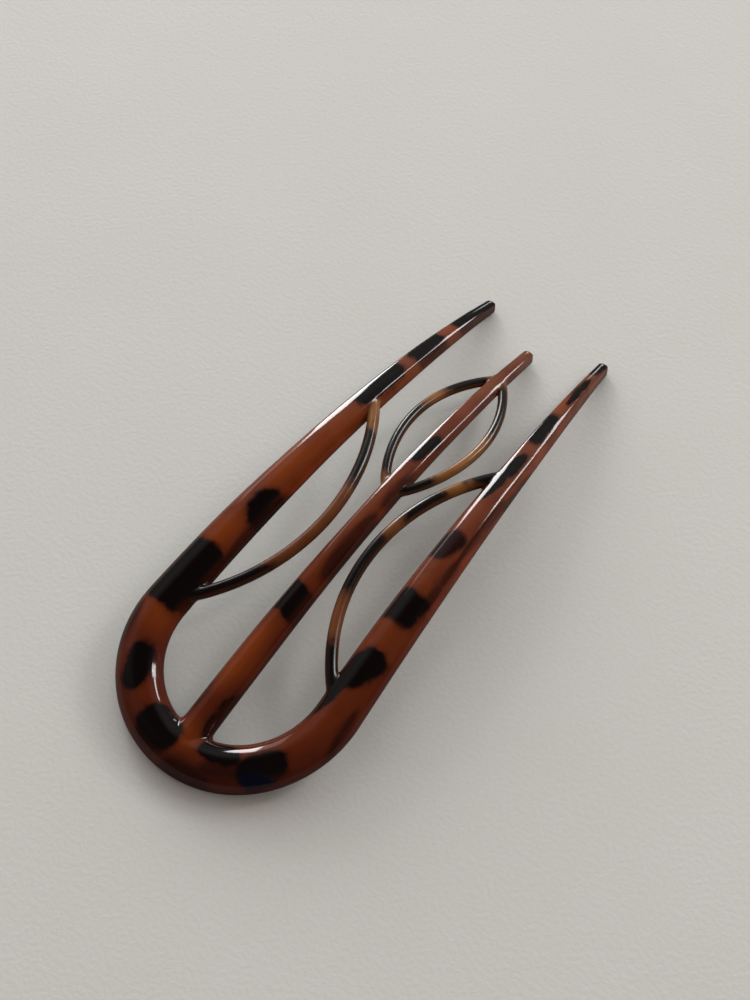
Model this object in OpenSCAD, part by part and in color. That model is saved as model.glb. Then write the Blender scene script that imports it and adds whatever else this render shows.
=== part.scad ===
// A hair fork moulded in one piece. A bent bar makes the two side prongs, a straight prong
// stands in the middle of the bend, and thin round wires make an arch inside each side prong
// and a pointed loop round the middle prong. Everything is laid out flat and then curved over
// one arched surface. The fork lies hollow side down, on its bend and its tips, which point
// towards +Y.

/* [Overall] */
// Length from the outside of the bend to the ends of the side prongs
fork_l = 119.5; // [100:0.5:150]
// Rise of the arched surface over the line from the bend to the tips
rise = 8.8; // [4:0.2:12]

/* [Bent bar] */
// Radius of the bend to the middle of the bar
bend_r = 19.3; // [16:0.2:24]
// Turn of each half of the bend, where 90 leaves the side prongs parallel
bend_turn = 93; // [91:0.2:95]
// Further inward turn along each side prong
prong_turn = 1; // [0.2:0.2:4]
// Width of the bar at the bend
bar_w = 8.4; // [7:0.1:10]
// Thickness of the bar at the bend
bar_t = 4; // [3.4:0.1:5]
// Width of the bar at its ends
tip_w = 2.2; // [2:0.1:3.2]
// Thickness of the bar at its ends
tip_t = 2.3; // [2:0.1:3.2]
// Rounding of the long edges of the bar and the middle prong
edge_r = 1.3; // [0.6:0.1:1.6]
// Bulge of the top face at the bend
crown_h = 0.4; // [0.1:0.05:0.8]

/* [Middle prong] */
// Length from the outside of the bend to the end of the middle prong
middle_l = 113; // [98:0.5:118]
// Width of the middle prong where it leaves the bend
middle_w = 6.3; // [5:0.1:7.5]
// Thickness of the middle prong where it leaves the bend
middle_t = 3.8; // [3:0.1:4.4]
// Bulge of its top face there
middle_crown_h = 0.2; // [0.1:0.05:0.6]
// Width of the middle prong at its end
middle_tip_w = 2.3; // [2:0.1:3.2]
// Thickness of the middle prong at its end
middle_tip_t = 2.3; // [2:0.1:3.2]
// How far the end of the middle prong dips under the surface of the side prongs
middle_drop = 1.6; // [0:0.1:2]

/* [Side arches] */
// Thickness of the round wire of the side arches
arch_d = 2.3; // [1.8:0.1:2.8]
// Distance along the side prong from the end of the bend to the lower root of the arch
arch_start = 3; // [1:0.5:10]
// Distance along the side prong between the roots of the arch
arch_span = 53; // [44:1:58]
// Depth of the arch, from the line between its roots to its middle
arch_depth = 9.9; // [7:0.1:10]

/* [Pointed loop] */
// Thickness of the round wire of the loop
loop_d = 1.9; // [1.6:0.1:2.4]
// Distance from the end of the middle prong to the upper root of the loop
loop_back = 11; // [9:0.5:16]
// Distance between the roots of the loop
loop_l = 36; // [28:1:42]
// Width over the outside of the loop
loop_w = 16.6; // [14:0.2:18]

/* [Roots] */
// Thickness of a wire's root where it grows out of a prong, as a multiple of the wire
root_swell = 1.25; // [1.1:0.1:1.8]
// Length of a wire's root, measured along the wire
root_l = 2.5; // [2:0.5:4]
// Reach of the web in each corner between the middle prong and the bend
web_l = 1.2; // [0.8:0.2:2.4]

/* [Hidden] */

// Steps along each stretch and round each section
bend_steps = 18;
prong_steps = 26;
end_steps = 5;
middle_steps = 30;
arch_steps = 26;
loop_steps = 22;
corner_steps = 3;
top_steps = 4;
wire_sides = 12;
root_sides = 16;

// Reach on each side of a place when a slope or a heading is measured there, in mm and as
// a share of a wire
slope_reach = 0.5;
heading_reach = 0.01;
// Largest rounding, as a share of a thin section, and turn at the last ring of a round end
round_share = 0.45;
end_turn = 80;
// Thickness of the corner webs, as a share of the thinner neighbour
web_share = 0.8;

// Columns of the tables of sections
AT = 0;
WIDE = 1;
THICK = 2;

// Bar sections: share of the way from the bend to the tip, then what is left there of the
// difference between bend and tip
bar_sections = [
    [0, 1, 1],
    [0.2, 1, 0.8],
    [0.4, 0.91, 0.65],
    [0.6, 0.65, 0.6],
    [0.8, 0.33, 0.45],
    [1, 0, 0]
];

// Middle prong sections, with the same columns
middle_sections = [
    [0, 1, 1],
    [0.33, 0.75, 0.85],
    [0.67, 0.34, 0.45],
    [1, 0, 0]
];

// Side view: share of the fork's length, then share of the rise
UP = 1;
side_view = [
    [0, 0],
    [0.17, 0.5],
    [0.35, 0.88],
    [0.52, 1],
    [0.65, 0.925],
    [0.8, 0.66],
    [0.92, 0.31],
    [1, 0]
];

// The two points that pull each curved wire out: share of its length, then how far out,
// as a share of the arch's depth or of the loop's half width
OUT = 1;
arch_pulls = [[0.29, 1.45], [0.71, 1.22]];
loop_pulls = [[0.18, 0.9], [0.62, 1.67]];

// Value of a table at a place, on a smooth curve through its rows
function row_at(table, x, i = 0) =
    i >= len(table) - 2 || x < table[i + 1][AT] ? i : row_at(table, x, i + 1);
function slope_at(table, i, column) =
    let (a = table[max(i - 1, 0)], b = table[min(i + 1, len(table) - 1)])
    (b[column] - a[column]) / (b[AT] - a[AT]);
function hermite(a, b, slope_a, slope_b, t) =
    (2 * pow(t, 3) - 3 * t * t + 1) * a + (pow(t, 3) - 2 * t * t + t) * slope_a
    + (3 * t * t - 2 * pow(t, 3)) * b + (pow(t, 3) - t * t) * slope_b;
function look_up(table, x, column) =
    let (i = row_at(table, x), step = table[i + 1][AT] - table[i][AT])
    hermite(table[i][column], table[i + 1][column], slope_at(table, i, column) * step,
            slope_at(table, i + 1, column) * step, (x - table[i][AT]) / step);
function mix(a, b, share) = a + (b - a) * share;
function within(x, low, high) = min(max(x, low), high);

// The arched surface: its level at a place along the fork, and its slope there. The middle
// prong dips under it, more and more towards its end
middle_run = middle_l - bar_w / 2;
function dip_at(y) = middle_drop * max(0, y - bar_w / 2) / middle_run;
function level(y) =
    let (share = within(y / fork_l, 0, 1))
    rise * look_up(side_view, share, UP) + mix(bar_t, tip_t, share) / 2;
function slope(y) =
    let (mid = within(y, slope_reach, fork_l - slope_reach))
    atan((level(mid + slope_reach) - level(mid - slope_reach)) / (2 * slope_reach));
function curved(p, dip) =
    let (a = slope(p[1]))
    [p[0], p[1] - p[2] * sin(a), level(p[1]) - dip * dip_at(p[1]) + p[2] * cos(a)];

// Stations along a strand: place in plan, heading, width, thickness and bulge
PLACE = 0;
HEADING = 1;
W = 2;
T = 3;
BULGE = 4;

// Rings of points round a station: a rounded bar, and a round wire
function ring_point(station, side, up) =
    let (h = station[HEADING], p = station[PLACE])
    [p[0] + side * sin(h), p[1] - side * cos(h), up];
function corner(w, t, r, sx, sy, turn) =
    [for (k = [0 : corner_steps])
        let (a = turn + 90 * k / corner_steps)
        [sx * (w / 2 - r) + r * cos(a), sy * (t / 2 - r) + r * sin(a)]];
function bar_outline(w, t, r) = concat(
    corner(w, t, r, 1, 1, 0),
    [for (k = [1 : top_steps - 1]) [(w / 2 - r) * (1 - 2 * k / top_steps), t / 2]],
    corner(w, t, r, -1, 1, 90),
    corner(w, t, r, -1, -1, 180),
    corner(w, t, r, 1, -1, 270)
);
function bulge_at(q, station) =
    q[1] > 0 ? station[BULGE] * (1 - pow(2 * q[0] / station[W], 2)) : 0;
function bar_ring(station, dip) =
    let (w = station[W], t = station[T], r = min(edge_r, round_share * min(w, t)))
    [for (q = bar_outline(w, t, r))
        curved(ring_point(station, q[0], q[1] + bulge_at(q, station)), dip)];
function wire_ring(station, dip) =
    [for (k = [0 : wire_sides - 1])
        let (a = 360 * k / wire_sides)
        curved(ring_point(station, station[W] / 2 * cos(a), station[W] / 2 * sin(a)), dip)];

// Right half of the bent bar: the bend is an arc, and so is each side prong
bend_end = [bend_r * sin(bend_turn), bar_w / 2 + bend_r * (1 - cos(bend_turn))];
bend_l = bend_r * bend_turn * PI / 180;
prong_chord = (fork_l - bend_end[1]) / sin(bend_turn + prong_turn / 2);
prong_l = prong_chord * (prong_turn / 2) * PI / 180 / sin(prong_turn / 2);
function bar_width(way) = mix(tip_w, bar_w, look_up(bar_sections, way, WIDE));
function bar_thick(way) = mix(tip_t, bar_t, look_up(bar_sections, way, THICK));
function way_at(distance) = (bend_l + distance) / (bend_l + prong_l);
function bend_station(share) =
    let (a = bend_turn * share, way = share * bend_l / (bend_l + prong_l))
    [[bend_r * sin(a), bar_w / 2 + bend_r * (1 - cos(a))], a, bar_width(way),
     bar_thick(way), crown_h];
function prong_place(distance) =
    let (turned = prong_turn * distance / prong_l)
    bend_end + prong_chord * sin(turned / 2) / sin(prong_turn / 2)
    * [cos(bend_turn + turned / 2), sin(bend_turn + turned / 2)];
function prong_station(distance, size) =
    let (way = way_at(distance))
    [prong_place(distance), bend_turn + prong_turn * distance / prong_l,
     size * bar_width(way), size * bar_thick(way), size * crown_h * (1 - way)];

// A rounded end: rings that close along a quarter circle, nearly to a point
end_angles = [for (i = [1 : end_steps]) end_turn * i / end_steps];
tip_start = prong_l - tip_w / 2;
right_half = concat(
    [for (i = [0 : bend_steps - 1]) bend_station(i / bend_steps)],
    [for (i = [0 : prong_steps]) prong_station(tip_start * i / prong_steps, 1)],
    [for (a = end_angles) prong_station(tip_start + tip_w / 2 * sin(a), cos(a))]
);
function mirrored(s) = [[-s[PLACE][0], s[PLACE][1]], -s[HEADING], s[W], s[T], s[BULGE]];
bar_stations = concat(
    [for (i = [len(right_half) - 1 : -1 : 1]) mirrored(right_half[i])],
    right_half
);
bar_rings = [for (s = bar_stations) bar_ring(s, 0)];

// Middle prong, from the middle of the bar at the bend
middle_tip_start = middle_run - middle_tip_w / 2;
function middle_width(y) =
    mix(middle_tip_w, middle_w, look_up(middle_sections, (y - bar_w / 2) / middle_run, WIDE));
function middle_thick(y) =
    mix(middle_tip_t, middle_t, look_up(middle_sections, (y - bar_w / 2) / middle_run, THICK));
function middle_station(distance, size) =
    let (y = bar_w / 2 + distance)
    [[0, y], 90, size * middle_width(y), size * middle_thick(y),
     size * middle_crown_h * (1 - distance / middle_run)];
middle_rings = [for (s = concat(
    [for (i = [0 : middle_steps]) middle_station(middle_tip_start * i / middle_steps, 1)],
    [for (a = end_angles) middle_station(middle_tip_start + middle_tip_w / 2 * sin(a), cos(a))]
)) bar_ring(s, 1)];

// A curved wire between two roots, pulled out by two points
function bezier(ends, pulls, t) =
    pow(1 - t, 3) * ends[0] + 3 * pow(1 - t, 2) * t * pulls[0]
    + 3 * (1 - t) * t * t * pulls[1] + pow(t, 3) * ends[1];
function wire_heading(ends, pulls, t) =
    let (ahead = bezier(ends, pulls, min(t + heading_reach, 1)),
         behind = bezier(ends, pulls, max(t - heading_reach, 0)))
    atan2(ahead[1] - behind[1], ahead[0] - behind[0]);
function wire_rings(ends, pulls, d, steps, dip) =
    [for (i = [0 : steps])
        wire_ring([bezier(ends, pulls, i / steps), wire_heading(ends, pulls, i / steps), d],
                  dip)];

// Side arch, whose roots lie half a wire inside the inner edge of the side prong
function arch_root(distance) =
    let (s = prong_station(distance, 1))
    s[PLACE] + (s[W] - arch_d) / 2 * [-sin(s[HEADING]), cos(s[HEADING])];
arch_ends = [arch_root(arch_start), arch_root(arch_start + arch_span)];
arch_out = [-1, 0] * arch_depth;
arch_pull_points = [for (p = arch_pulls) mix(arch_ends[0], arch_ends[1], p[AT]) + p[OUT] * arch_out];

// Pointed loop, whose roots lie half a wire inside the edge of the middle prong
loop_end_y = middle_l - loop_back;
loop_start_y = loop_end_y - loop_l;
function loop_root(y) = [(middle_width(y) - loop_d) / 2, y];
loop_ends = [loop_root(loop_start_y), loop_root(loop_end_y)];
loop_half = (loop_w - loop_d) / 2;
loop_pull_points = [for (p = loop_pulls) [p[OUT] * loop_half, loop_start_y + p[AT] * loop_l]];

// The fork is centred on its own length and stands with its lowest point on the table
lowest = min([for (ring = concat(bar_rings, middle_rings)) for (p = ring) p[2]]);
front = min([for (ring = bar_rings) for (p = ring) p[1]]);
back = max([for (ring = bar_rings) for (p = ring) p[1]]);
stand = [0, -(front + back) / 2, -lowest];

// A closed skin over a row of rings
module skin(rings) {
    n = len(rings[0]);
    last = (len(rings) - 1) * n;
    sides = [for (i = [0 : len(rings) - 2]) for (j = [0 : n - 1])
        let (a = i * n + j, b = i * n + (j + 1) % n)
        each [[a, b, b + n], [a, b + n, a + n]]];
    start_cap = [for (j = [1 : n - 2]) [0, j + 1, j]];
    end_cap = [for (j = [1 : n - 2]) [last, last + j, last + j + 1]];
    polyhedron(points = [for (ring = rings) each ring],
               faces = concat(sides, start_cap, end_cap));
}

// The swollen root of a wire, from one end of its curve to a little way along it
module wire_root(ends, pulls, d, from_start, dip) {
    reach = root_l / 3 / norm(from_start ? pulls[0] - ends[0] : pulls[1] - ends[1]);
    p = bezier(ends, pulls, from_start ? 0 : 1);
    q = bezier(ends, pulls, from_start ? reach : 1 - reach);
    hull() {
        translate(curved([p[0], p[1], 0], dip))
            sphere(d = d * root_swell, $fn = root_sides);
        translate(curved([q[0], q[1], 0], dip))
            sphere(d = d, $fn = root_sides);
    }
}

module both_sides() {
    children();
    mirror([1, 0, 0]) children();
}

module side_arch() {
    skin(wire_rings(arch_ends, arch_pull_points, arch_d, arch_steps, 0));
    for (from_start = [true, false])
        wire_root(arch_ends, arch_pull_points, arch_d, from_start, 0);
}

module loop_side() {
    skin(wire_rings(loop_ends, loop_pull_points, loop_d, loop_steps, 1));
    for (from_start = [true, false])
        wire_root(loop_ends, loop_pull_points, loop_d, from_start, 1);
}

// Web in the corner between the middle prong and the inside of the bend
module corner_web() {
    d = web_share * min(middle_t, bar_t);
    x = (middle_w - d) / 2;
    y = bar_w - d / 2;
    hull() {
        for (p = [[x, y], [x + web_l, y], [x, y + web_l]])
            translate(curved([p[0], p[1], 0], 1))
                sphere(d = d, $fn = root_sides);
    }
}

module fork() {
    color("#7a3a1e")
        translate(stand)
            union() {
                skin(bar_rings);
                skin(middle_rings);
                both_sides() {
                    side_arch();
                    loop_side();
                    corner_web();
                }
            }
}

fork();
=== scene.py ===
# %% [markdown]
# # A tortoiseshell hair fork
#
# The real object is one piece of polished cellulose acetate: a bent bar that makes two side
# prongs, a straight middle prong, and four thin round wires that make an arch inside each
# side prong and a pointed loop round the middle one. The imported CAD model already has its
# size and place. This lesson builds a finer skin over the same sizes, melts its joints
# together as polishing does, and gives it the marbled, glossy finish of the real plastic.

import math

import bmesh
import bpy
from mathutils import Matrix, Vector
from mathutils.bvhtree import BVHTree


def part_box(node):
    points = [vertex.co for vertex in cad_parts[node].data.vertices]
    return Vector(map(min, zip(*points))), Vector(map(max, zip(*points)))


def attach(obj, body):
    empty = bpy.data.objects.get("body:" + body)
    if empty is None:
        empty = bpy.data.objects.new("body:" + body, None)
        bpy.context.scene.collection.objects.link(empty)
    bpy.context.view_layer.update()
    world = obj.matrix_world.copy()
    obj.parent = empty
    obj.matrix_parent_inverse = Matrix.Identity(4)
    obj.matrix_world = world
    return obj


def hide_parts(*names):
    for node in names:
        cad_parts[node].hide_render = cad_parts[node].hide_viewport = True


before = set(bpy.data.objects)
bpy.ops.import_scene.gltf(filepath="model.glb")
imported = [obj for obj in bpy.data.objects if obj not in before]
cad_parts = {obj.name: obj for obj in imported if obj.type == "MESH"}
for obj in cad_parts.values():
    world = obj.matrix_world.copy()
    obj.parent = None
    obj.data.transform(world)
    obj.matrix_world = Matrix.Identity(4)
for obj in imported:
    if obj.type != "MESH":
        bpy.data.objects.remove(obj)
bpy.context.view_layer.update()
low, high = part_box("fork")
MM = 0.001
print("CAD fork in mm:", [round(c / MM, 1) for c in (*low, *high)])

# %% [markdown]
# ## Sizes
#
# The scene can't read the part's source, so the sizes that shape the skin are repeated here,
# in millimetres. In a table the first number of a row is a share of the way along and the
# next ones are the values there. `look_up` runs a smooth curve through the rows, because a
# broken line would show as a kink in every reflection.

# %% Sizes in millimetres
FORK_L = 119.5
RISE = 8.8
BEND_R = 19.3
BEND_TURN = math.radians(93)
PRONG_TURN = math.radians(1)
BAR_W, BAR_T = 8.4, 4.0
TIP_W, TIP_T = 2.2, 2.3
CROWN = 0.4
MIDDLE_L = 113.0
MIDDLE_W, MIDDLE_T = 6.3, 3.8
MIDDLE_TIP_W, MIDDLE_TIP_T = 2.3, 2.3
MIDDLE_DROP = 1.6
MIDDLE_CROWN = 0.2
ARCH_D = 2.3
ARCH_START, ARCH_SPAN, ARCH_DEPTH = 3.0, 53.0, 9.9
LOOP_D = 1.9
LOOP_BACK, LOOP_L, LOOP_W = 11.0, 36.0, 16.6

# Width and thickness along a prong, as shares from the tip's value (0) to the root's (1).
BAR_SECTIONS = [(0, 1, 1), (0.2, 1, 0.8), (0.4, 0.91, 0.65), (0.6, 0.65, 0.6),
                (0.8, 0.33, 0.45), (1, 0, 0)]
MIDDLE_SECTIONS = [(0, 1, 1), (0.33, 0.75, 0.85), (0.67, 0.34, 0.45), (1, 0, 0)]
# Height of the arch along the fork, as a share of its rise.
SIDE_VIEW = [(0, 0), (0.17, 0.5), (0.35, 0.88), (0.52, 1), (0.65, 0.925), (0.8, 0.66),
             (0.92, 0.31), (1, 0)]
# The two points that pull a wire out: how far along it, and how far out in shares of its reach.
ARCH_PULLS = [(0.29, 1.45), (0.71, 1.22)]
LOOP_PULLS = [(0.18, 0.9), (0.62, 1.67)]
print("the fork is", FORK_L, "mm long and rises", RISE, "mm")


def mix(a, b, share):
    return a + (b - a) * share


def within(x, least, most):
    return min(max(x, least), most)


def look_up(table, x, column=1):
    """Value of a table at x, on a smooth curve through its rows."""
    i = 0
    while i < len(table) - 2 and x >= table[i + 1][0]:
        i += 1

    def slope_at(k):
        a, b = table[max(k - 1, 0)], table[min(k + 1, len(table) - 1)]
        return (b[column] - a[column]) / (b[0] - a[0])

    step = table[i + 1][0] - table[i][0]
    t = (x - table[i][0]) / step
    a, b = table[i][column], table[i + 1][column]
    return ((2 * t**3 - 3 * t**2 + 1) * a + (t**3 - 2 * t**2 + t) * slope_at(i) * step
            + (3 * t**2 - 2 * t**3) * b + (t**3 - t**2) * slope_at(i + 1) * step)


# %% [markdown]
# ## The arched surface
#
# A comb or fork like this is sawn from a flat sheet and then pressed over a heated former, so
# every prong follows one arched surface. The same order works here: each strand is laid out
# flat, and `curved` then lifts a flat point onto the arch.

# %% Arched surface
SLOPE_REACH = 0.5
MIDDLE_RUN = MIDDLE_L - BAR_W / 2


def level(y):
    """Height of the middle of the plastic over the table."""
    share = within(y / FORK_L, 0, 1)
    return RISE * look_up(SIDE_VIEW, share) + mix(BAR_T, TIP_T, share) / 2


def slope(y):
    mid = within(y, SLOPE_REACH, FORK_L - SLOPE_REACH)
    return math.atan((level(mid + SLOPE_REACH) - level(mid - SLOPE_REACH)) / (2 * SLOPE_REACH))


def curved(x, y, up, dips):
    """A flat point on the arch; the middle prong dips under it towards its end."""
    dip = MIDDLE_DROP * max(0, y - BAR_W / 2) / MIDDLE_RUN if dips else 0
    a = slope(y)
    return Vector((x, y - up * math.sin(a), level(y) - dip + up * math.cos(a)))


print("highest middle of the arch in mm:", round(max(level(y) for y in range(round(FORK_L))), 1))

# %% [markdown]
# ## Stations
#
# A station says where a strand's middle is in the flat layout, which way it heads, how wide
# and thick it is, how much its top face bulges, and which share of the way it has gone. A
# strand is a row of stations, close enough together for a smooth highlight, and its ends
# close along a quarter circle, as a blunt polished tip does.

# %% Stations of the bent bar and the middle prong
STEP = 0.6
END_STEPS = 9
POLE_GAP = 0.15  # in steps; the last ring stays this far from the pole, so that it keeps a size
BEND_END = Vector((BEND_R * math.sin(BEND_TURN),
                   BAR_W / 2 + BEND_R * (1 - math.cos(BEND_TURN))))
BEND_RUN = BEND_R * BEND_TURN
PRONG_CHORD = (FORK_L - BEND_END.y) / math.sin(BEND_TURN + PRONG_TURN / 2)
PRONG_RUN = PRONG_CHORD * (PRONG_TURN / 2) / math.sin(PRONG_TURN / 2)


def bar_station(distance, size=1.0):
    """A station at a distance from the middle of the bend, on the right half of the bar."""
    way = within(distance / (BEND_RUN + PRONG_RUN), 0, 1)
    if distance <= BEND_RUN:
        heading = distance / BEND_R
        place = Vector((BEND_R * math.sin(heading), BAR_W / 2 + BEND_R * (1 - math.cos(heading))))
    else:
        turned = PRONG_TURN * (distance - BEND_RUN) / PRONG_RUN
        chord = PRONG_CHORD * math.sin(turned / 2) / math.sin(PRONG_TURN / 2)
        heading = BEND_TURN + turned
        direction = BEND_TURN + turned / 2
        place = BEND_END + chord * Vector((math.cos(direction), math.sin(direction)))
    wide = mix(TIP_W, BAR_W, look_up(BAR_SECTIONS, way))
    thick = mix(TIP_T, BAR_T, look_up(BAR_SECTIONS, way, 2))
    return place, heading, size * wide, size * thick, size * CROWN * (1 - way), way


def middle_station(distance, size=1.0):
    way = within(distance / MIDDLE_RUN, 0, 1)
    wide = mix(MIDDLE_TIP_W, MIDDLE_W, look_up(MIDDLE_SECTIONS, way))
    thick = mix(MIDDLE_TIP_T, MIDDLE_T, look_up(MIDDLE_SECTIONS, way, 2))
    bulge = MIDDLE_CROWN * (1 - way)
    place = Vector((0, BAR_W / 2 + distance))
    return place, math.pi / 2, size * wide, size * thick, size * bulge, way


def with_round_end(station, run, end_w):
    """Stations up to a blunt round end, the last ones along a quarter circle."""
    start = run - end_w / 2
    steps = round(start / STEP)
    rows = [station(start * i / steps) for i in range(steps + 1)]
    for i in range(1, END_STEPS + 1):
        a = math.pi / 2 * i / (END_STEPS + POLE_GAP)
        rows.append(station(start + end_w / 2 * math.sin(a), math.cos(a)))
    return rows


def other_side(station):
    place, heading, *rest = station
    return (Vector((-place.x, place.y)), -heading, *rest)


right_half = with_round_end(bar_station, BEND_RUN + PRONG_RUN, TIP_W)
bar_rows = [other_side(s) for s in right_half[:0:-1]] + right_half
middle_rows = with_round_end(middle_station, MIDDLE_RUN, MIDDLE_TIP_W)
print("stations of the bar and the middle prong:", len(bar_rows), len(middle_rows))

# %% [markdown]
# ## Wires
#
# Each wire is a smooth curve between two roots that lie half a wire inside its prong, pulled
# out by two points. Its stations have the same width and thickness and no bulge. Past each
# root the wire goes on into the prong for a millimetre and gets thinner there, so that its
# end is hidden in the plastic.

# %% Stations of the wires
WIRE_STEP = 0.45
HEADING_REACH = 0.01
ARCH_EXTRA, LOOP_EXTRA = 1.1, 1.15  # length of the curves in shares of the straight way
ROOT_TAPER = [(0.35, 0.92), (0.7, 0.75), (1.0, 0.45)]  # mm past the root, share of the width


def wire_rows(ends, pulls, d, length):
    def at(t):
        return ((1 - t)**3 * ends[0] + 3 * (1 - t)**2 * t * pulls[0]
                + 3 * (1 - t) * t**2 * pulls[1] + t**3 * ends[1])

    steps = round(length / WIRE_STEP)
    rows = []
    for i in range(steps + 1):
        t = i / steps
        ahead = at(min(t + HEADING_REACH, 1)) - at(max(t - HEADING_REACH, 0))
        rows.append((at(t), math.atan2(ahead.y, ahead.x), d, d, 0, t))
    for end, sign in ((0, -1), (-1, 1)):
        place, heading, _, _, bulge, way = rows[end]
        for reach, share in ROOT_TAPER:
            deeper = place + sign * reach * Vector((math.cos(heading), math.sin(heading)))
            at_row = len(rows) if sign > 0 else 0
            rows.insert(at_row, (deeper, heading, share * d, share * d, bulge, way))
    return rows


def arch_root(distance):
    place, heading, wide, *_ = bar_station(BEND_RUN + distance)
    return place + (wide - ARCH_D) / 2 * Vector((-math.sin(heading), math.cos(heading)))


def loop_root(y):
    return Vector(((middle_station(y - BAR_W / 2)[2] - LOOP_D) / 2, y))


arch_ends = [arch_root(ARCH_START), arch_root(ARCH_START + ARCH_SPAN)]
arch_pulls = [arch_ends[0].lerp(arch_ends[1], along) + Vector((-out * ARCH_DEPTH, 0))
              for along, out in ARCH_PULLS]
arch_rows = wire_rows(arch_ends, arch_pulls, ARCH_D, ARCH_SPAN * ARCH_EXTRA)

LOOP_START = MIDDLE_L - LOOP_BACK - LOOP_L
loop_ends = [loop_root(LOOP_START), loop_root(LOOP_START + LOOP_L)]
loop_pulls = [Vector((out * (LOOP_W - LOOP_D) / 2, LOOP_START + along * LOOP_L))
              for along, out in LOOP_PULLS]
loop_rows = wire_rows(loop_ends, loop_pulls, LOOP_D, LOOP_L * LOOP_EXTRA)
print("stations of an arch and of a loop side:", len(arch_rows), len(loop_rows))

# %% [markdown]
# ## Sections
#
# Cut across, the bar and the middle prong have a gently domed top, sides that slope outwards
# and a flat underside with round edges. Where top and side meet, the polishing wheel has left
# a soft shoulder at the bend and a crisp one along the prongs. That line catches the thin
# bright reflections on the real fork, so it decides more of the look than any colour does.
#
# The tables say how all this changes along a prong: how far a side reaches out under its
# shoulder, how much it bows, how round the shoulder is, how steeply the dome falls at its
# edge in degrees, how round the lower edge is, and how much fuller than the plain width the
# section is. Only the right half is drawn, from the top of the dome to the middle of the
# underside, and its mirror image closes the ring. A wire is simply round.

# %% Sections
SIDE_REACH = [(0, 2.1), (0.3, 1.75), (0.5, 1.25), (0.65, 0.98), (0.8, 0.68), (1, 0.25)]
MIDDLE_SIDE_REACH = [(0, 1.7), (0.3, 1.3), (0.5, 0.65), (0.65, 0.35), (1, 0.25)]
SIDE_BOW = [(0, 1), (0.35, 0.9), (0.5, 0.5), (0.62, 0.25), (1, 0.2)]
SHOULDER = [(0, 0.9), (0.3, 0.8), (0.5, 0.55), (0.65, 0.35), (1, 0.2)]
DOME_TILT = [(0, 21), (0.35, 22), (0.5, 25), (0.62, 28), (0.8, 28), (1, 25)]
LOWER_R = [(0, 0.9), (0.4, 0.8), (0.6, 0.6), (1, 0.5)]
FULLER = [(0, 0.1), (0.2, 0.2), (0.35, 0.05), (0.5, 0.1), (0.65, 0.25), (0.8, 0.35), (1, 0.15)]
# Limits that keep a small section in shape: shares of half its width, of its thickness and
# of its top or side, and the width under which the shoulder gets smaller.
MOST_SIDE, MOST_LOWER, MOST_SHOULDER, SMALL_W = 0.6, 0.4, 0.7, 4
SEARCH_STEP = 0.01
DOME_STEPS, SHOULDER_STEPS, SIDE_STEPS, LOWER_STEPS, UNDER_STEPS = 7, 6, 6, 6, 4
WIRE_SIDES = 28


def half_section(wide, thick, bulge, way, side_reach):
    """Points of the right half, from the top of the dome to the middle of the underside."""
    half = (wide + look_up(FULLER, way) * wide / mix(BAR_W, TIP_W, way)) / 2
    side = min(look_up(side_reach, way), MOST_SIDE * half)
    lower = min(look_up(LOWER_R, way), MOST_LOWER * thick)
    top, widest = thick / 2 + bulge, lower - thick / 2
    inner = half - side
    drop = inner * math.tan(math.radians(look_up(DOME_TILT, way))) / 2
    bow = look_up(SIDE_BOW, way)
    shoulder = Vector((inner, top - drop))
    cut = min(look_up(SHOULDER, way) * min(wide / SMALL_W, 1),
              MOST_SHOULDER * inner, MOST_SHOULDER * side)

    def on_dome(x):
        return Vector((x, top - drop * (x / inner)**2))

    def on_side(share):
        x = half - side * ((1 - bow) * (1 - share) + bow * (1 - share)**2)
        return Vector((x, mix(shoulder.y, widest, share)))

    share = 0
    while (on_side(share) - shoulder).length < cut:
        share += SEARCH_STEP
    a, b = on_dome(inner - cut), on_side(share)
    points = [on_dome((inner - cut) * k / DOME_STEPS) for k in range(DOME_STEPS)]
    for k in range(SHOULDER_STEPS):
        t = k / SHOULDER_STEPS
        points.append(a.lerp(shoulder, t).lerp(shoulder.lerp(b, t), t))
    points += [on_side(mix(share, 1, k / SIDE_STEPS)) for k in range(SIDE_STEPS)]
    for k in range(LOWER_STEPS):
        q = math.pi / 2 * k / LOWER_STEPS
        points.append(Vector((half - lower + lower * math.cos(q), widest - lower * math.sin(q))))
    points += [Vector((mix(half - lower, 0, k / UNDER_STEPS), -thick / 2))
               for k in range(UNDER_STEPS + 1)]
    return points


def whole_section(right):
    """The right half and its mirror image as one ring that starts at the foot of the side."""
    left = [Vector((-q.x, q.y)) for q in right[1:-1]]
    start = DOME_STEPS + SHOULDER_STEPS + SIDE_STEPS
    return right[start::-1] + left + right[:start:-1]


def bar_section(wide, thick, bulge, way):
    return whole_section(half_section(wide, thick, bulge, way, SIDE_REACH))


def middle_section(wide, thick, bulge, way):
    return whole_section(half_section(wide, thick, bulge, way, MIDDLE_SIDE_REACH))


def wire_section(wide, thick, bulge, way):
    return [(wide / 2 * math.cos(a), thick / 2 * math.sin(a))
            for a in (math.tau * k / WIRE_SIDES for k in range(WIRE_SIDES))]


SIDES = len(bar_section(BAR_W, BAR_T, CROWN, 0))
print("points round the bar's section:", SIDES)

# %% [markdown]
# ## From a straight rod to a strand
#
# A strand starts as a plain cylinder with as many rings as the strand has stations, cut by
# one subdivision along its length. Every ring is then moved to its station and every point of
# a ring to its place in the section. That keeps long clean lines of faces along the edges,
# which a glossy plastic needs for an even highlight.

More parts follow.
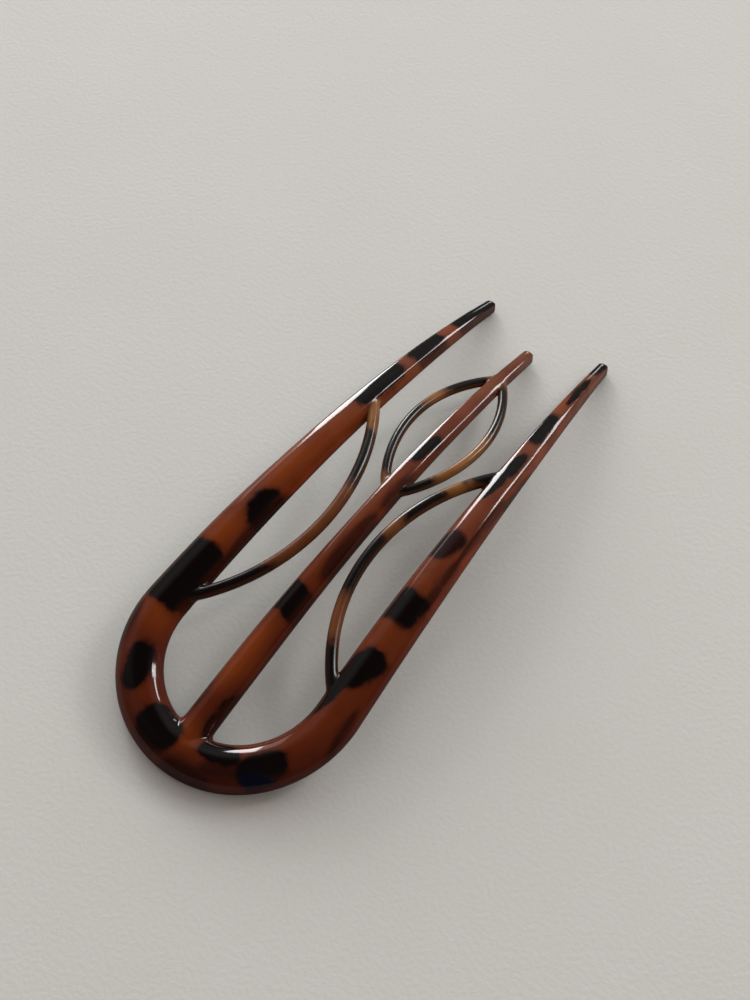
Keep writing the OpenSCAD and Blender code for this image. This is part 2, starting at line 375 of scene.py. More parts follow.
# %% Build a strand
def strand(rows, section, sides, dips):
    bm = bmesh.new()
    bmesh.ops.create_cone(bm, cap_ends=True, segments=sides, radius1=1, radius2=1, depth=1)
    along = [e for e in bm.edges if abs(e.verts[0].co.z - e.verts[1].co.z) > 0.5]
    bmesh.ops.subdivide_edges(bm, edges=along, cuts=len(rows) - 2, use_grid_fill=True)
    rings = {}
    for v in bm.verts:
        row = round((v.co.z + 0.5) * (len(rows) - 1))
        turn = math.atan2(v.co.y, v.co.x)
        rings.setdefault(row, []).append((v, round(turn / math.tau * sides) % sides))
    for row, ring in rings.items():
        place, heading, *size = rows[row]
        points = section(*size)
        for v, k in ring:
            side, up = points[k]
            v.co = curved(place.x + side * math.sin(heading),
                          place.y - side * math.cos(heading), up, dips)
    bm.normal_update()
    bmesh.ops.recalc_face_normals(bm, faces=bm.faces[:])
    return bm


strands = {
    "bar": strand(bar_rows, bar_section, SIDES, False),
    "middle": strand(middle_rows, middle_section, SIDES, True),
}
for name, rows, dips in (("arch", arch_rows, False), ("loop", loop_rows, True)):
    strands[name + "_right"] = strand(rows, wire_section, WIRE_SIDES, dips)
    left_rows = [other_side(s) for s in rows]
    strands[name + "_left"] = strand(left_rows, wire_section, WIRE_SIDES, dips)
for name, bm in strands.items():
    print(name, len(bm.faces), "faces,", round(bm.calc_volume(signed=True)), "cubic mm")

# %% [markdown]
# ## Melted joints
#
# On the real fork nothing is stuck on: a cutter left a small round in each corner and
# polishing softened it. Two strands that simply cross would meet in a hard crease. A bevel
# can't follow such a crease, because the faces there are long and cut at odd places.
#
# Each surface therefore swells a little before the strands are joined, most where it nears
# another strand and where the two meet squarely. Each point looks for the nearest place on
# the other strand in a tree of its faces. The middle prong gets a wider round than the wires.

# %% Swell the strands towards each other
PRONG_ROUND, WIRE_ROUND = 1.5, 0.7
CARRIERS = {"arch_right": "bar", "arch_left": "bar", "loop_right": "middle",
            "loop_left": "middle", "middle": "bar"}
JOINTS = [(name, carrier, PRONG_ROUND if name == "middle" else WIRE_ROUND)
          for name, carrier in CARRIERS.items()]
trees = {name: BVHTree.FromBMesh(bm) for name, bm in strands.items()}


def signed_gap(tree, co, reach):
    """Distance from a point to a surface, below zero inside it, and the surface's normal."""
    place, normal, _, distance = tree.find_nearest(co, reach)
    if place is None:
        return None, None
    return (distance if (co - place).dot(normal) > 0 else -distance), normal


def swell(bm, joints):
    """Pushes points out; at the crossing the push is a quarter of the round, as in a blend."""
    bm.normal_update()
    moved = []
    for v in bm.verts:
        push = 0
        for other, round_mm in joints:
            gap, normal = signed_gap(trees[other], v.co, round_mm)
            if gap is not None:
                squareness = within(1 - v.normal.dot(normal), 0, 1)
                push = max(push, squareness * (round_mm - max(gap, 0))**2 / (4 * round_mm))
        moved.append(v.co + v.normal * push)
    for v, co in zip(bm.verts, moved):
        v.co = co


for name, bm in strands.items():
    swell(bm, [(b, r) for a, b, r in JOINTS if a == name]
          + [(a, r) for a, b, r in JOINTS if b == name])
print("joints softened:", len(JOINTS))

# %% [markdown]
# ## One skin
#
# A Boolean union makes one closed skin out of the six swollen strands, so no face is left
# inside the plastic. The exact solver is slow but sure where surfaces nearly touch. It hands
# back the same points and faces every time, but in a different order, and the next step
# would then merge slightly different points. So they are put in order of place first.

# %% Join the strands
def as_object(name, bm):
    mesh = bpy.data.meshes.new(name)
    bm.to_mesh(mesh)
    piece = bpy.data.objects.new(name, mesh)
    bpy.context.scene.collection.objects.link(piece)
    return piece


def in_order_of_place(mesh):
    """A copy of a mesh with its points sorted by place and its faces by their points."""
    points = [tuple(v.co) for v in mesh.vertices]
    by_place = sorted(range(len(points)), key=lambda i: points[i])
    rank = {old: new for new, old in enumerate(by_place)}
    rings = []
    for face in mesh.polygons:
        ring = [rank[i] for i in face.vertices]
        first = ring.index(min(ring))
        rings.append(ring[first:] + ring[:first])
    ordered = bpy.data.meshes.new("joined_in_order")
    ordered.from_pydata([points[i] for i in by_place], [], sorted(rings))
    return ordered


swollen = {name: BVHTree.FromBMesh(bm) for name, bm in strands.items()}
solids = {name: as_object(name, bm) for name, bm in strands.items()}
for name in CARRIERS:
    join = solids["bar"].modifiers.new(name, "BOOLEAN")
    join.operation, join.solver, join.object = "UNION", "EXACT", solids[name]
depsgraph = bpy.context.evaluated_depsgraph_get()
joined = bpy.data.meshes.new_from_object(solids["bar"].evaluated_get(depsgraph))
skin = bmesh.new()
skin.from_mesh(in_order_of_place(joined))
for piece in solids.values():
    bpy.data.objects.remove(piece)
print("joined:", len(skin.verts), "points,", round(skin.calc_volume()), "cubic mm")

# %% [markdown]
# ## Polished creases
#
# A Boolean leaves points that lie almost on top of each other and slivers between them. They
# are merged first. Then only the points near a joint, which are the ones close to two strands
# at once, are smoothed a few times. The long clean faces elsewhere stay as they are, and the
# crease becomes the small round that polishing leaves.

# %% Smooth the creases
MERGE = 0.02
CREASE = 0.7
SMOOTH_ROUNDS = 6
bmesh.ops.remove_doubles(skin, verts=skin.verts[:], dist=MERGE)
bmesh.ops.dissolve_degenerate(skin, edges=skin.edges[:], dist=MERGE)


def crease_share(co):
    """1 where a point lies on two strands at once, down to 0 at CREASE from the second one."""
    found = (signed_gap(tree, co, CREASE)[0] for tree in swollen.values())
    gaps = sorted(abs(gap) for gap in found if gap is not None)
    return 1 - gaps[1] / CREASE if len(gaps) > 1 else 0


near = [v for v in skin.verts if crease_share(v.co) > 0]
for _ in range(SMOOTH_ROUNDS):
    bmesh.ops.smooth_vert(skin, verts=near, factor=0.5,
                          use_axis_x=True, use_axis_y=True, use_axis_z=True)
bmesh.ops.recalc_face_normals(skin, faces=skin.faces[:])
print("points smoothed at the joints:", len(near))

# %% [markdown]
# ## Into place
#
# Everything so far was in millimetres, with y measured from the outer edge of the bend. The
# points are scaled to metres and moved to where the CAD fork lies, and the object itself
# stays at the origin, unturned and unscaled. Every edge must have exactly two faces, or the
# skin has a hole.

# %% Set the skin in its place
bmesh.ops.scale(skin, vec=(MM, MM, MM), verts=skin.verts[:])
least_y, most_y = min(v.co.y for v in skin.verts), max(v.co.y for v in skin.verts)
least_z = min(v.co.z for v in skin.verts)
to_cad = Vector((0, (low.y + high.y - least_y - most_y) / 2, low.z - least_z))
bmesh.ops.translate(skin, vec=to_cad, verts=skin.verts[:])
open_edges = [e for e in skin.edges if len(e.link_faces) != 2]
fork = as_object("hair_fork_skin", skin)
for face in fork.data.polygons:
    face.use_smooth = True
print("skin:", len(fork.data.polygons), "faces,", len(open_edges), "open edges")

# %% [markdown]
# ## Camera
#
# The photo was taken from about 33 cm away, 57 degrees above the table and 37 degrees to the
# right of the fork's length. The angles and the focal length in pixels come from a fit of the
# model's outline to the photo. The camera is placed so that one known point, 5 mm over the
# origin, lands on its own spot in the picture, so the lens needs no shift. `clip_start` is
# small because the whole scene is.

# %% Camera
PICTURE_W, PICTURE_H = 750, 1000
FOCAL_PX = 1802.3
AZIMUTH, ELEVATION, ROLL = (math.radians(a) for a in (37.1, 56.64, -0.47))
AIM, AIM_PX, AIM_AWAY = Vector((0, 0, 5)) * MM, (370.8, 524.9), 333.68 * MM

back = Vector((math.sin(AZIMUTH) * math.cos(ELEVATION), -math.cos(AZIMUTH) * math.cos(ELEVATION),
               math.sin(ELEVATION)))
right = Vector((0, 0, 1)).cross(back).normalized()
up = back.cross(right)
right, up = (right * math.cos(ROLL) + up * math.sin(ROLL),
             up * math.cos(ROLL) - right * math.sin(ROLL))
turn = Matrix((right, up, back)).transposed()
aim_in_camera = Vector(((AIM_PX[0] - PICTURE_W / 2) / FOCAL_PX,
                        (PICTURE_H / 2 - AIM_PX[1]) / FOCAL_PX, -1)) * AIM_AWAY
lens = bpy.data.cameras.new("camera")
lens.sensor_fit, lens.sensor_height = "VERTICAL", 24
lens.lens = lens.sensor_height * FOCAL_PX / PICTURE_H
lens.clip_start = 0.01
camera = bpy.data.objects.new("camera", lens)
camera.matrix_world = Matrix.Translation(AIM - turn @ aim_in_camera) @ turn.to_4x4()
bpy.context.scene.collection.objects.link(camera)
bpy.context.scene.camera = camera
print("camera", [round(c, 3) for c in camera.location], "lens", round(lens.lens, 1))

# %% [markdown]
# ## Helpers for materials
#
# Colours are written as the hex values one would pick from a picture. Blender reckons in
# linear light, so `linear` turns them. `add` puts any kind of node into a tree, connects its
# inputs and gives it its settings, which keeps a long material readable as a list. Some nodes
# have several sockets of one name, and these are taken by number.

# %% Material helpers
PER_MM = 1 / MM  # a noise of scale PER_MM / 7 has spots about 7 mm apart
# A Mix node keeps the sockets of all its kinds: numbers go in at 2 and 3, colours at 6 and 7.
SHARE, NUMBER_A, NUMBER_B, COLOUR_A, COLOUR_B = 0, 2, 3, 6, 7
MIXED_NUMBER, MIXED_COLOUR = 0, 2


def linear(hex_code):
    """A linear colour from an sRGB hex value."""
    parts = [int(hex_code[i:i + 2], 16) / 255 for i in (1, 3, 5)]
    return [c / 12.92 if c <= 0.04045 else ((c + 0.055) / 1.055)**2.4 for c in parts] + [1]


def add(tree, kind, links=None, stops=None, **settings):
    """Adds a node; links give an input a value, a colour or an output, stops fill a ramp."""
    node = tree.nodes.new(kind)
    for key, value in settings.items():
        setattr(node, key, value)
    if stops:
        elements = node.color_ramp.elements
        while len(elements) < len(stops):
            elements.new(1)
        for element, (position, hex_code) in zip(elements, stops):
            element.position, element.color = position, linear(hex_code)
    for key, value in (links or {}).items():
        if isinstance(value, bpy.types.NodeSocket):
            tree.links.new(value, node.inputs[key])
        else:
            node.inputs[key].default_value = value
    return node


def new_material(name):
    material = bpy.data.materials.new(name)
    material.use_nodes = True
    material.node_tree.nodes.clear()
    return material, material.node_tree


print("a mid grey of #808080 is", round(linear("#808080")[0], 3), "in linear light")

# %% [markdown]
# ## Where the dark patches lie
#
# In a sheet of tortoiseshell acetate the dark patches lie where the chips happened to fall, so
# no noise texture could put them in the right places. They are charted instead, each as a
# rounded oval seen from above: its middle in x and y, half its length and half its width in
# mm, its turn in degrees from the x axis, and a power, where 2 is an ellipse and a higher one
# is squarer. The wires are dark in bands, given from one y to another. Thin patches and
# smudges show the amber through, and a glow is a place where the plastic is clearer. The
# smudges are partly soft dark plastic and partly painted shade along the sides of the prongs
# and the outer edge of the bend.

# %% Chart of the marbling
PATCHES = {
    "left arm, broad band": (-19.2, -30.0, 7.2, 5.4, 84, 3.5),
    "left arm, half moon": (-15.4, -11.5, 4.2, 3.1, 91, 1.7),
    "left arm, upper": (-16.5, 24.0, 6.8, 2.6, 85, 3.2),
    "left arm, near the tip": (-15.0, 38.2, 4.6, 2.5, 87, 4.0),
    "left tip": (-13.8, 54.8, 7.5, 2.2, 86, 5.0),
    "right arm, low": (18.1, -26.8, 4.4, 3.0, 62, 3.0),
    "right arm, low tail": (16.1, -33.0, 6.2, 1.7, 77, 2.2),
    "right arm, middle": (17.5, -13.2, 3.5, 3.4, 84, 4.5),
    "right arm, upper": (15.4, 20.3, 6.8, 1.3, 86, 2.6),
    "right arm, near the tip": (14.6, 35.0, 4.5, 1.6, 94, 4.0),
    "right arm, streak": (14.3, 48.4, 4.8, 0.7, 94, 2.2),
    "right tip": (13.1, 58.2, 3.8, 1.1, 94, 2.2),
    "prong, middle": (0.3, -23.2, 3.2, 4.6, 74, 3.2),
    "prong, in the loop": (0.1, 17.4, 4.0, 1.2, 86, 2.4),
    "prong, base": (2.9, -47.0, 4.8, 1.2, 88, 2.4),
    "prong, base left": (-3.0, -46.0, 4.4, 0.9, 90, 2.2),
    "bend, left": (-14.8, -48.4, 4.5, 2.5, 109, 2.5),
    "bend, lower left": (-4.8, -54.9, 4.4, 3.7, 159, 2.4),
    "bend, inner edge": (7.0, -52.7, 3.9, 2.1, 14, 2.4),
    "bend, lower right": (14.9, -50.6, 4.6, 2.7, 50, 2.2),
}
THIN_PATCHES = {
    "right arm, slanted": (16.2, 1.4, 3.7, 2.3, 72, 3.2),
}
WIRE_BANDS = {
    "arch_left": [(-34, -20.4), (2.2, 13.9)],
    "arch_right": [(-34, -25.8), (-16.5, -3.4), (1.8, 10.6), (15.6, 21)],
    "loop_left": [(9, 26.6), (32.8, 41)],
    "loop_right": [(4, 12.1), (27.8, 41)],
}
# Partly soft dark plastic, partly painted shade along the sides of the prongs and the bend.
SMUDGES_AND_PAINTED_SHADE = [
    (1.6, -8.5, 8.5, 1.5, 90), (1.5, 6, 5, 1.0, 90), (3.8, -58.4, 5.0, 1.5, 10),
    (9.5, -54.5, 5, 1.6, 30), (-21.5, -44.5, 7, 1.3, 98), (-14.5, -15, 9, 1.0, 87),
    (22.3, -38.0, 5, 0.7, 93), (20.0, -6.0, 7, 0.8, 93), (19.2, 8, 9, 0.6, 93),
    (19.0, 20, 6, 0.6, 93),
]
BLUE_TINT = (14.7, -53.3, 3.8, 1.2, 38)
GLOWS = [
    (-1.0, -53, 3, 2, 0), (-0.3, -36.5, 6.5, 2.2, 90), (-17.0, -38.6, 3.2, 3.0, 90),
    (-18.2, -20, 4, 2.5, 87), (-17.2, -2, 5, 2.5, 87), (-15.5, 8, 9, 1.5, 86),
    (-14.0, 46, 2, 1.5, 90), (13.5, 43, 2, 1.5, 90),
]
NEAR_MIDDLE = 0.05


def oval(x, y, cx, cy, half_l, half_w, turn, power=2.0):
    """How far a place lies inside an oval, in mm and below zero outside it."""
    a = math.radians(turn)
    along = (x - cx) * math.cos(a) + (y - cy) * math.sin(a)
    across = (y - cy) * math.cos(a) - (x - cx) * math.sin(a)
    share = ((abs(along) / half_l)**power + (abs(across) / half_w)**power)**(1 / power)
    return (1 - share) * (math.hypot(along, across) / share if share > NEAR_MIDDLE else half_w)


print("dark patches:", len(PATCHES), "and bands on the wires:",
      sum(len(bands) for bands in WIRE_BANDS.values()))

# %% [markdown]
# ## Fields on the skin
#
# A field is one number at every point of the skin, kept in the mesh as an attribute. The
# material reads these numbers and never the scene, so it looks the same wherever the part is
# used. They say how many mm a point lies inside a dark patch, how smudged or painted with
# shade it is, how clear or bluish it is, whether it is on a wire, how far it leans from facing
# up, and how far along the fork it is. A strand's own patches must not colour its neighbour, so
# each point first finds the strand that it belongs to.
#
# A thin wire shows how softly the chips melted into each other, so the depth of its bands is
# scaled down, and they end more gradually.

# %% Fields on the skin
OUT_OF_REACH = 3.0
WIRE_SOFTNESS = 0.45
SMUDGE_AND_SHADE_STRENGTH, SMUDGE_AND_SHADE_SOFT = 0.7, 1.0
THIN_STRENGTH, THIN_SOFT = 0.96, 0.45
GLOW_SOFT, BLUE_SOFT = 2.0, 0.6


def nearest_strand(co):
    gaps = [(signed_gap(tree, co, OUT_OF_REACH)[0], name) for name, tree in swollen.items()]
    return min((abs(gap), name) for gap, name in gaps if gap is not None)[1]


def softly_inside(co, ovals, soft_mm):
    """0 outside all the ovals, 1 well inside one of them, and a half at its edge."""
    return max(within(0.5 + oval(co.x, co.y, *row) / (2 * soft_mm), 0, 1) for row in ovals)


fields = {name: [] for name in ("patch", "smudge", "glow", "blue", "wire", "side", "along")}
for v in fork.data.vertices:
    co = v.co / MM
    owner = nearest_strand(co - to_cad / MM)
    in_wire = owner in WIRE_BANDS
    if in_wire:
        patch = WIRE_SOFTNESS * max(min(co.y - a, b - co.y) for a, b in WIRE_BANDS[owner])
        smudge = glow = 0
    else:
        patch = max(oval(co.x, co.y, *row) for row in PATCHES.values())
        # Smudges and painted shade on the sides share one field.
        smudge = max(SMUDGE_AND_SHADE_STRENGTH * softly_inside(co, SMUDGES_AND_PAINTED_SHADE, SMUDGE_AND_SHADE_SOFT),
                     THIN_STRENGTH * softly_inside(co, THIN_PATCHES.values(), THIN_SOFT))
        glow = softly_inside(co, GLOWS, GLOW_SOFT)
    fields["patch"].append(within(patch, -OUT_OF_REACH, OUT_OF_REACH))
    fields["smudge"].append(smudge)
    fields["glow"].append(glow)
    fields["blue"].append(softly_inside(co, [BLUE_TINT], BLUE_SOFT))
    fields["wire"].append(in_wire)
    fields["side"].append(math.acos(within(v.normal.z, -1, 1)) / math.pi)
    fields["along"].append(within(co.y / FORK_L + 0.5, 0, 1))
for name, values in fields.items():
    attribute = fork.data.attributes.new(name, "FLOAT", "POINT")
    attribute.data.foreach_set("value", values)
print("points under a dark patch:", sum(depth > 0 for depth in fields["patch"]))

# %% [markdown]
# ## Tortoiseshell acetate
#
# Tortoiseshell sheet is made by pressing chips of dark and amber acetate together, so the
# dark patches have soft, slightly ragged edges and go right through the plate. Light enters
# the top and leaves by the sides, so the sides differ in colour from the tops and look lighter
# even under a dark patch; here that light is painted into the colour of the sides, and a
# painted shade line darkens them where they turn under.
#
# The light inside the plastic is painted into the colour, because subsurface scattering is
# lost when a part is exported and slow to render. This cell makes the amber: one ramp along
# the fork for the tops; one for the sides, which is painted light where light leaves them and
# painted shade, darker, round the bend; and one for the wires, painted more golden for the
# light that passes through their thin plastic. Then come clouds of 7 mm, clear places and a
# painted shade line below. The field `side` is 0 where the skin faces up, a half where it faces
# sideways and 1 below.

# %% Amber
CLOUD_MM = 7
CLOUD_SHARE, CLEAR_SHARE, UNDER_PAINTED_SHADE_SHARE = 0.5, 0.55, 0.85
# Polished acetate looks wet: a clear even gloss over a colour that comes from inside.
material, tree = new_material("acetate_pressed_and_polished")
place = add(tree, "ShaderNodeTexCoord").outputs["Object"]
field = {name: add(tree, "ShaderNodeAttribute", attribute_name=name).outputs["Fac"]
         for name in fields}

top = add(tree, "ShaderNodeValToRGB", {"Fac": field["along"]}, [
    (0.0, "#4e1e0c"), (0.15, "#58220d"), (0.3, "#60290f"),
    (0.55, "#612d18"), (0.8, "#673826"), (1.0, "#5e3824"),
]).outputs["Color"]
# Sides: painted light where light leaves the plastic, and painted shade round the bend.
flank_painted_light_and_shade = add(tree, "ShaderNodeValToRGB", {"Fac": field["along"]}, [
    (0.0, "#44170c"), (0.3, "#541e0c"), (0.5, "#762e0e"), (0.8, "#824428"), (1.0, "#7a5242"),
]).outputs["Color"]
# Wires: amber with painted light, lighter for the light that passes through the thin plastic.
wire_amber_painted_light = add(tree, "ShaderNodeValToRGB", {"Fac": field["along"]}, [
    (0.45, "#653819"), (0.62, "#805226"),
]).outputs["Color"]
steep = add(tree, "ShaderNodeMapRange",
            {"Value": field["side"], "From Min": 0.16, "From Max": 0.36},
            interpolation_type="SMOOTHSTEP").outputs["Result"]
# Painted shade: a dark line where the sides turn under.
under_painted_shade = add(tree, "ShaderNodeMapRange",
            {"Value": field["side"], "From Min": 0.40, "From Max": 0.54},
            interpolation_type="SMOOTHSTEP").outputs["Result"]
cloud = add(tree, "ShaderNodeTexNoise",
            {"Vector": place, "Scale": PER_MM / CLOUD_MM, "Detail": 2.0}).outputs["Fac"]
cloud = add(tree, "ShaderNodeMapRange", {"Value": cloud, "From Min": 0.4, "From Max": 0.7,
                                         "To Max": CLOUD_SHARE}).outputs["Result"]
glow = add(tree, "ShaderNodeMath", {0: field["glow"], 1: CLEAR_SHARE},
           operation="MULTIPLY").outputs["Value"]
shade = add(tree, "ShaderNodeMath", {0: under_painted_shade, 1: UNDER_PAINTED_SHADE_SHARE},
            operation="MULTIPLY").outputs["Value"]
amber = top
for share, over in ((steep, flank_painted_light_and_shade), (field["wire"], wire_amber_painted_light), (cloud, linear("#451609")),
                    (glow, linear("#7e3810")), (shade, linear("#200906"))):
    amber = add(tree, "ShaderNodeMix", {SHARE: share, COLOUR_A: amber, COLOUR_B: over},
                data_type="RGBA").outputs[MIXED_COLOUR]
print("nodes in the amber:", len(tree.nodes))

# %% [markdown]
# ## Dark patches
#
# Over the amber lie a brown halo, the smudges, which are partly painted shade, and the nearly
# black cores. A noise of about 2 mm frays the distance to a patch before it is turned into an
# edge, so the edge wanders but stays crisp. On the sides a core is paler, painted light that
# leaves the plastic there, except at the bluish patch.

# %% Patches
FRAY_MM = 2.2
FRAY_DEPTH = 2.0  # mm from the deepest dent of an edge to its highest bump
HALO_SHARE = 0.45
PAINTED_SIDE_LIGHT = 0.6
fray = add(tree, "ShaderNodeTexNoise",
           {"Vector": place, "Scale": PER_MM / FRAY_MM, "Detail": 3.0}).outputs["Fac"]
fray = add(tree, "ShaderNodeMath", {0: fray, 1: FRAY_DEPTH, 2: -FRAY_DEPTH / 2},
           operation="MULTIPLY_ADD").outputs["Value"]
edge = add(tree, "ShaderNodeMath", {0: field["patch"], 1: fray}, operation="ADD").outputs["Value"]
halo = add(tree, "ShaderNodeMapRange",
           {"Value": edge, "From Min": -1.3, "From Max": 0.3, "To Max": HALO_SHARE},
           interpolation_type="SMOOTHSTEP").outputs["Result"]
core = add(tree, "ShaderNodeMapRange", {"Value": edge, "From Min": -0.5, "From Max": 0.5},
           interpolation_type="SMOOTHSTEP").outputs["Result"]
# Painted light: the cores are paler on the sides, where light leaves the plastic.
core_kept_in_painted_side_light = add(tree, "ShaderNodeMath", {0: steep, 1: -PAINTED_SIDE_LIGHT, 2: 1.0},
           operation="MULTIPLY_ADD").outputs["Value"]
core_kept_in_painted_side_light = add(tree, "ShaderNodeMath", {0: core_kept_in_painted_side_light, 1: field["blue"]},
           operation="MAXIMUM").outputs["Value"]
core = add(tree, "ShaderNodeMath", {0: core, 1: core_kept_in_painted_side_light}, operation="MULTIPLY").outputs["Value"]
dark = add(tree, "ShaderNodeMix", {SHARE: field["blue"], COLOUR_A: linear("#0a0403"),
                                   COLOUR_B: linear("#04081c")},
           data_type="RGBA").outputs[MIXED_COLOUR]
colour = amber
# The smudges are partly painted shade along the sides and the edge of the bend.
for share, over in ((halo, linear("#260a07")), (field["smudge"], linear("#140505")),
                    (core, dark)):
    colour = add(tree, "ShaderNodeMix", {SHARE: share, COLOUR_A: colour, COLOUR_B: over},
                 data_type="RGBA").outputs[MIXED_COLOUR]
print("nodes in the amber and its patches:", len(tree.nodes))

# %% [markdown]
# ## Polish
#
# The gloss is that of a polished plastic with an index of 1.49. A noise of 0.8 mm varies the
# roughness a little, coarser than real wiping marks so that it shows at all, and waves of
# 6 mm bend the reflections as hand polishing does. The wires were harder to polish and are
# a little duller.

# %% Polish
SCUFF_MM = 0.8
WAVE_MM, WAVE_DEPTH_MM = 6, 0.06
WIRE_DULLER = 0.14
ACETATE_INDEX = 1.49
scuffs = add(tree, "ShaderNodeTexNoise",
             {"Vector": place, "Scale": PER_MM / SCUFF_MM, "Detail": 4.0}).outputs["Fac"]
gloss = add(tree, "ShaderNodeMapRange",
            {"Value": scuffs, "To Min": 0.05, "To Max": 0.13}).outputs["Result"]
gloss = add(tree, "ShaderNodeMath", {0: field["wire"], 1: WIRE_DULLER, 2: gloss},
            operation="MULTIPLY_ADD").outputs["Value"]
waves = add(tree, "ShaderNodeTexNoise",
            {"Vector": place, "Scale": PER_MM / WAVE_MM, "Detail": 1.0}).outputs["Fac"]
relief = add(tree, "ShaderNodeBump", {"Height": waves, "Distance": WAVE_DEPTH_MM * MM,
                                      "Strength": 1.0}).outputs["Normal"]
surface = add(tree, "ShaderNodeBsdfPrincipled",
              {"Base Color": colour, "Roughness": gloss, "IOR": ACETATE_INDEX,
               "Normal": relief}).outputs["BSDF"]
add(tree, "ShaderNodeOutputMaterial", {"Surface": surface})
fork.data.materials.append(material)
print("nodes in the acetate:", len(tree.nodes))

# %% [markdown]
# ## Floor
#
# The fork lies on a pale painted board. A noise of 0.9 mm makes its grain, a little coarser
# than real paint so that it shows, broad clouds of 30 mm keep it from looking flat, and both
# are nearly invisible. In the photo the sides of the fork mirror less of the board than an
# evenly lit one would show, probably because the person who took it shaded the board on that
# side. The floor therefore answers mirrored rays with a darker grey.

# %% Floor
FLOOR_REACH = 3  # metres from the middle to a side
GRAIN_MM, GRAIN_DEPTH_MM = 0.9, 0.06
BROAD_MM = 30
bm = bmesh.new()
bmesh.ops.create_grid(bm, x_segments=2, y_segments=2, size=FLOOR_REACH)
floor = as_object("floor", bm)
# Matt paint gives the eye a quiet even ground with only a hint of grain.
material, tree = new_material("painted_board")
place = add(tree, "ShaderNodeTexCoord").outputs["Object"]
grain = add(tree, "ShaderNodeTexNoise",
            {"Vector": place, "Scale": PER_MM / GRAIN_MM, "Detail": 3.0}).outputs["Fac"]
broad = add(tree, "ShaderNodeTexNoise",
            {"Vector": place, "Scale": PER_MM / BROAD_MM, "Detail": 2.0}).outputs["Fac"]
tone = add(tree, "ShaderNodeMath", {0: grain, 1: 0.35, 2: 0.3},
           operation="MULTIPLY_ADD").outputs["Value"]
tone = add(tree, "ShaderNodeMath", {0: broad, 1: 0.35, 2: tone},
           operation="MULTIPLY_ADD").outputs["Value"]
paint = add(tree, "ShaderNodeMix", {SHARE: tone, COLOUR_A: linear("#b9b7b1"),
                                    COLOUR_B: linear("#c5c4c0")},
            data_type="RGBA").outputs[MIXED_COLOUR]
mirrored = add(tree, "ShaderNodeLightPath").outputs["Is Glossy Ray"]
paint = add(tree, "ShaderNodeMix", {SHARE: mirrored, COLOUR_A: paint,
                                    COLOUR_B: linear("#767370")},
            data_type="RGBA").outputs[MIXED_COLOUR]
relief = add(tree, "ShaderNodeBump", {"Height": grain, "Distance": GRAIN_DEPTH_MM * MM,
                                      "Strength": 1.0}).outputs["Normal"]
surface = add(tree, "ShaderNodeBsdfPrincipled",
              {"Base Color": paint, "Roughness": 0.65, "Normal": relief}).outputs["BSDF"]
add(tree, "ShaderNodeOutputMaterial", {"Surface": surface})
floor.data.materials.append(material)
print("nodes in the board's paint:", len(tree.nodes))

# %% [markdown]
# ## Lamps
#
# A glossy dark thing shows its room more than itself. In the photo two low windows beyond
# the top of the picture leave the white band along the far edges and the streak on the inner
# rim of the bend, and panes of glass to the right draw the thin lines along the shoulders.
# A dim blind beside the first window gives the faint sheen that leads up to the white band.
#
# Each is an area lamp of the size and direction that its reflection asks for. A row gives its
# azimuth in the picture, 0 at the top and 90 at the right, its elevation, both in degrees,
# its distance, width and height in metres, and its glare. The glare is how bright a lamp
# looks, so a lamp can change its size without changing its reflection.

# %% Lamps
LAMPS = {
    "window": (-15.75, 14.5, 1.6, 0.30, 0.77, 14),
    "window_blind": (-26.5, 17, 1.6, 0.28, 0.60, 1.2),
    "second_window": (17, 11.5, 1.6, 0.32, 0.26, 5),
    "low_side_pane": (53.5, 30, 1.5, 0.40, 0.18, 13),
    "side_pane_1": (65.5, 33, 1.5, 0.12, 0.54, 12),
    "side_pane_2": (70.5, 33, 1.5, 0.12, 0.54, 12),
}
for name, (azimuth, elevation, away, wide, tall, glare) in LAMPS.items():
    lamp = bpy.data.lights.new(name, "AREA")
    lamp.shape, lamp.size, lamp.size_y = "RECTANGLE", wide, tall
    lamp.energy = glare * math.pi * wide * tall
    a, e = math.radians(azimuth) - AZIMUTH, math.radians(elevation)
    direction = Vector((math.sin(a) * math.cos(e), math.cos(a) * math.cos(e), math.sin(e)))
    facing_fork = direction.to_track_quat("Z", "Y").to_matrix().to_4x4()
    light = bpy.data.objects.new(name, lamp)
    light.matrix_world = Matrix.Translation(direction * away) @ facing_fork
    bpy.context.scene.collection.objects.link(light)
print("lamps:", len(bpy.data.lights))

# %% [markdown]
# ## Room
#
# The room fills in the rest, and it does two jobs. For ordinary rays it is pale and brighter
# from the top of the picture, most of all from low down there, which lays the soft shadow
# below and to the right of the fork. Light from the near side is a little warmer, so the
# shadows are too. For mirrored rays the room is darker and has its own ramp, because the
# plastic has to look deep. The Light Path node tells the two kinds apart.

# %% Room
NEAR_LIGHT, FAR_LIGHT, LOW_LIGHT = 0.28, 1.42, 2.4
world = bpy.data.worlds.new("room")
world.use_nodes = True
tree = world.node_tree
tree.nodes.clear()
toward = add(tree, "ShaderNodeTexCoord").outputs["Generated"]
height = add(tree, "ShaderNodeSeparateXYZ", {"Vector": toward}).outputs["Z"]
picture_top = (-math.sin(AZIMUTH), math.cos(AZIMUTH), 0)
facing = add(tree, "ShaderNodeVectorMath", {0: toward, 1: picture_top},
             operation="DOT_PRODUCT").outputs["Value"]
far_side = add(tree, "ShaderNodeMapRange", {"Value": facing, "From Min": -0.2, "From Max": 0.7},
               interpolation_type="SMOOTHSTEP").outputs["Result"]
fill = add(tree, "ShaderNodeValToRGB", {"Fac": height}, [
    (0.0, "#ffffff"), (0.5, "#f0f0f0"), (1.0, "#a0a0a0"),
]).outputs["Color"]
tint = add(tree, "ShaderNodeMix", {SHARE: far_side, COLOUR_A: linear("#ffeee6"),
                                   COLOUR_B: linear("#fbffff")},
           data_type="RGBA").outputs[MIXED_COLOUR]
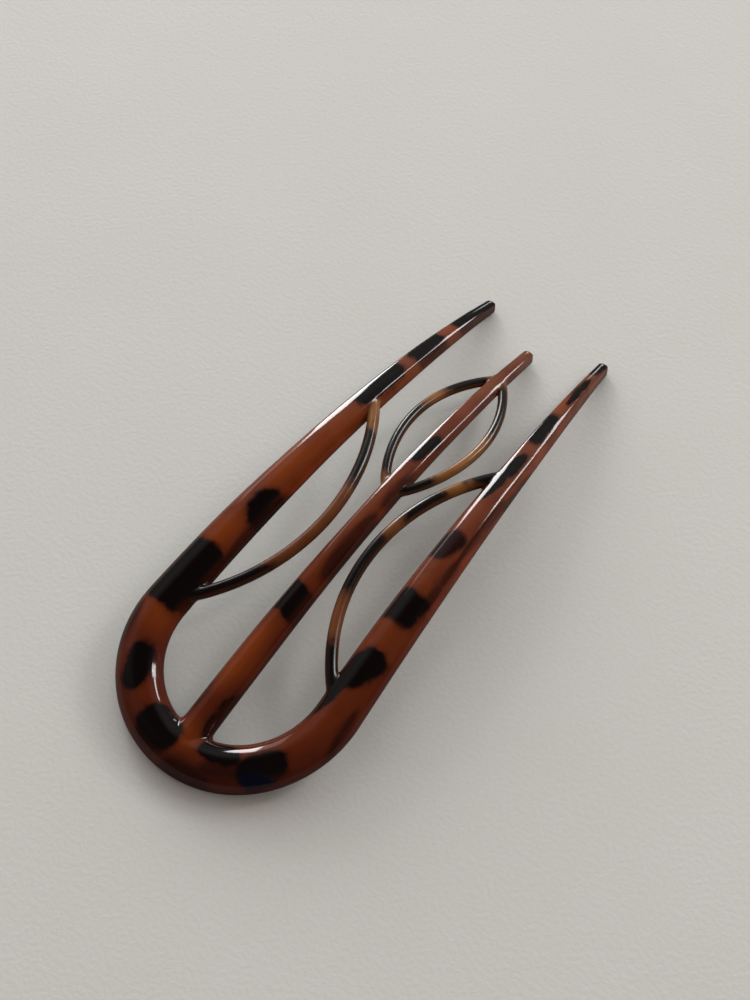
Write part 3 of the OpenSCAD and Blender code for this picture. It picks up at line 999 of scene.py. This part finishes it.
fill = add(tree, "ShaderNodeMix", {SHARE: 1.0, COLOUR_A: fill, COLOUR_B: tint},
           data_type="RGBA", blend_type="MULTIPLY").outputs[MIXED_COLOUR]
seen = add(tree, "ShaderNodeValToRGB", {"Fac": height}, [
    (0.0, "#606060"), (0.45, "#747474"), (0.62, "#8c8c8c"), (0.7, "#8c8c8c"),
    (0.8, "#7a7a7a"), (0.87, "#4a4a4a"), (0.92, "#262626"), (1.0, "#202020"),
]).outputs["Color"]
seen = add(tree, "ShaderNodeMix", {SHARE: far_side, COLOUR_A: linear("#383838"), COLOUR_B: seen},
           data_type="RGBA").outputs[MIXED_COLOUR]
mirrored = add(tree, "ShaderNodeLightPath").outputs["Is Glossy Ray"]
room = add(tree, "ShaderNodeMix", {SHARE: mirrored, COLOUR_A: fill, COLOUR_B: seen},
           data_type="RGBA").outputs[MIXED_COLOUR]
lean = add(tree, "ShaderNodeMapRange", {"Value": facing, "From Min": -1.0, "From Max": 1.0,
                                        "To Min": NEAR_LIGHT,
                                        "To Max": FAR_LIGHT}).outputs["Result"]
low_sky = add(tree, "ShaderNodeMapRange",
              {"Value": facing, "From Min": 0.5, "From Max": 0.95, "To Max": LOW_LIGHT},
              interpolation_type="SMOOTHSTEP").outputs["Result"]
lean = add(tree, "ShaderNodeMath", {0: lean, 1: low_sky}, operation="ADD").outputs["Value"]
strength = add(tree, "ShaderNodeMix", {SHARE: mirrored, NUMBER_A: lean, NUMBER_B: 1.0},
               data_type="FLOAT").outputs[MIXED_NUMBER]
background = add(tree, "ShaderNodeBackground", {"Color": room, "Strength": strength})
add(tree, "ShaderNodeOutputWorld", {"Surface": background.outputs["Background"]})
bpy.context.scene.world = world
bpy.context.scene.view_settings.view_transform = "Standard"
print("nodes in the room's light:", len(tree.nodes))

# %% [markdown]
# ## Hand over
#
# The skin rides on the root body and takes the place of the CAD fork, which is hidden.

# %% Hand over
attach(fork, "root")
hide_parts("fork")
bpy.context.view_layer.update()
